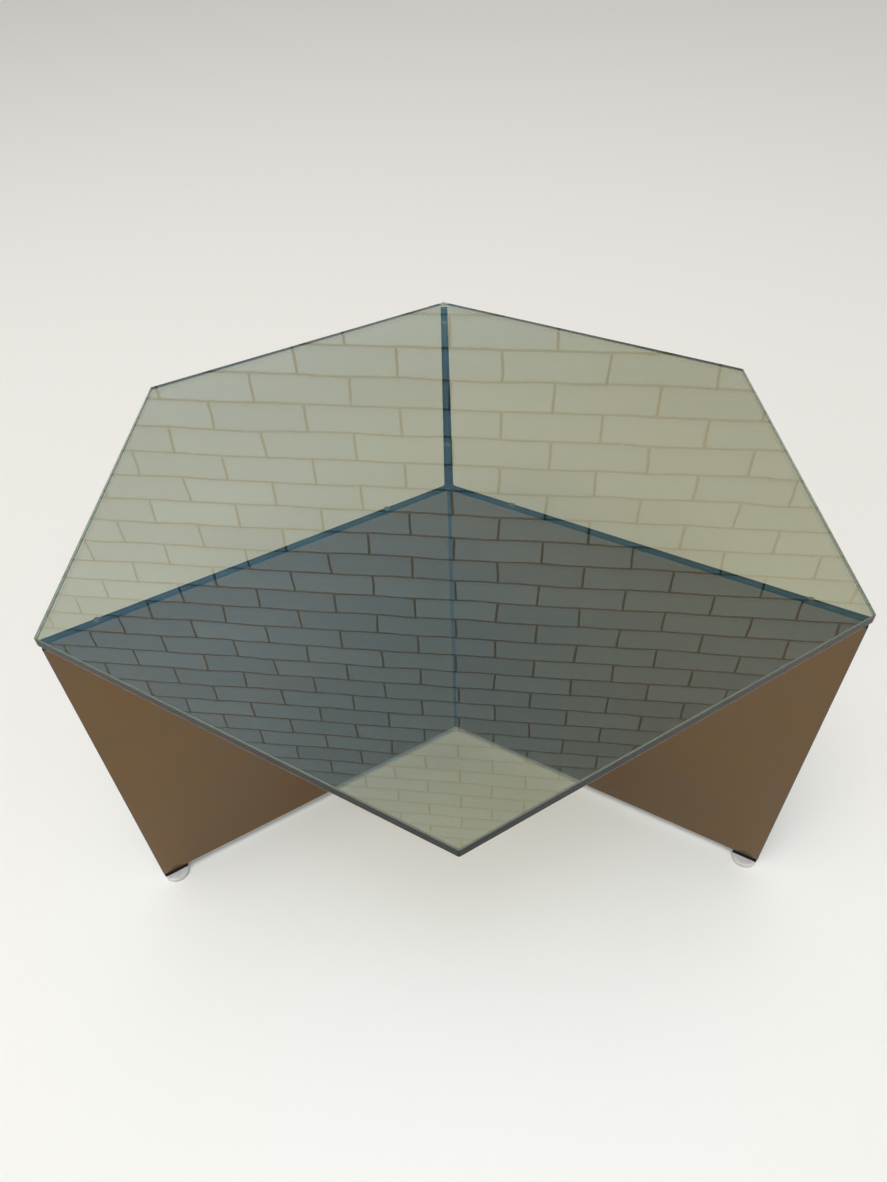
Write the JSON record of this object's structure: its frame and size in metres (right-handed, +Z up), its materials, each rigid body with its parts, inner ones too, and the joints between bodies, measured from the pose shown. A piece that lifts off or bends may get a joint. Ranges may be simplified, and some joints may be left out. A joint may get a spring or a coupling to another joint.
{
  "type": "coffee table",
  "caption": "Low coffee table: a hexagonal clear-glass top resting on mirrored upright fins that meet in a Y, on small round glides.",
  "frame": {"origin": "on the floor under the middle of the top, the bottom centre of the whole table", "axes": "+Z up; +Y along the back fin, from the middle to the back corner of the top; +X to the right seen from the front bay"},
  "size_m": [0.6934, 0.7996, 0.414],
  "materials": {
    "glass": "polished clear float glass with a faint green-grey tint",
    "mirror": "bronze-tinted silvered glass, polished edges",
    "aluminium": "mill-finish sheet, edges dull blue-grey",
    "dark_aluminium": "black anodised extrusion",
    "sealant": "dark blue-black silicone, satin",
    "rubber": "matte black",
    "glide": "light grey, slightly waxy",
    "bumper": "clear soft plastic"
  },
  "bodies": {
    "base": {"centre_spine": "dark_aluminium", "back_fin_core": "aluminium", "back_fin_mirror_left": "mirror", "back_fin_mirror_right": "mirror", "back_foot_pad": "rubber", "back_glide": "glide", "back_fin_bumper_inner": "bumper", "back_fin_bumper_outer": "bumper", "left_fin_core": "aluminium", "left_fin_mirror_front": "mirror", "left_fin_mirror_rear": "mirror", "left_foot_pad": "rubber", "left_glide": "glide", "left_fin_bumper_inner": "bumper", "left_fin_bumper_outer": "bumper", "right_fin_core": "aluminium", "right_fin_mirror_rear": "mirror", "right_fin_mirror_front": "mirror", "right_foot_pad": "rubber", "right_glide": "glide", "right_fin_bumper_inner": "bumper", "right_fin_bumper_outer": "bumper", "front_corner_seam": "sealant", "left_corner_seam": "sealant", "right_corner_seam": "sealant"},
    "top": {"glass_top": "glass"}
  },
  "joints": [
    {"name": "top_lift", "type": "slide", "parent": "base", "child": "top", "axis": [0, 0, 1], "range_m": [0, 0.15]}
  ]
}
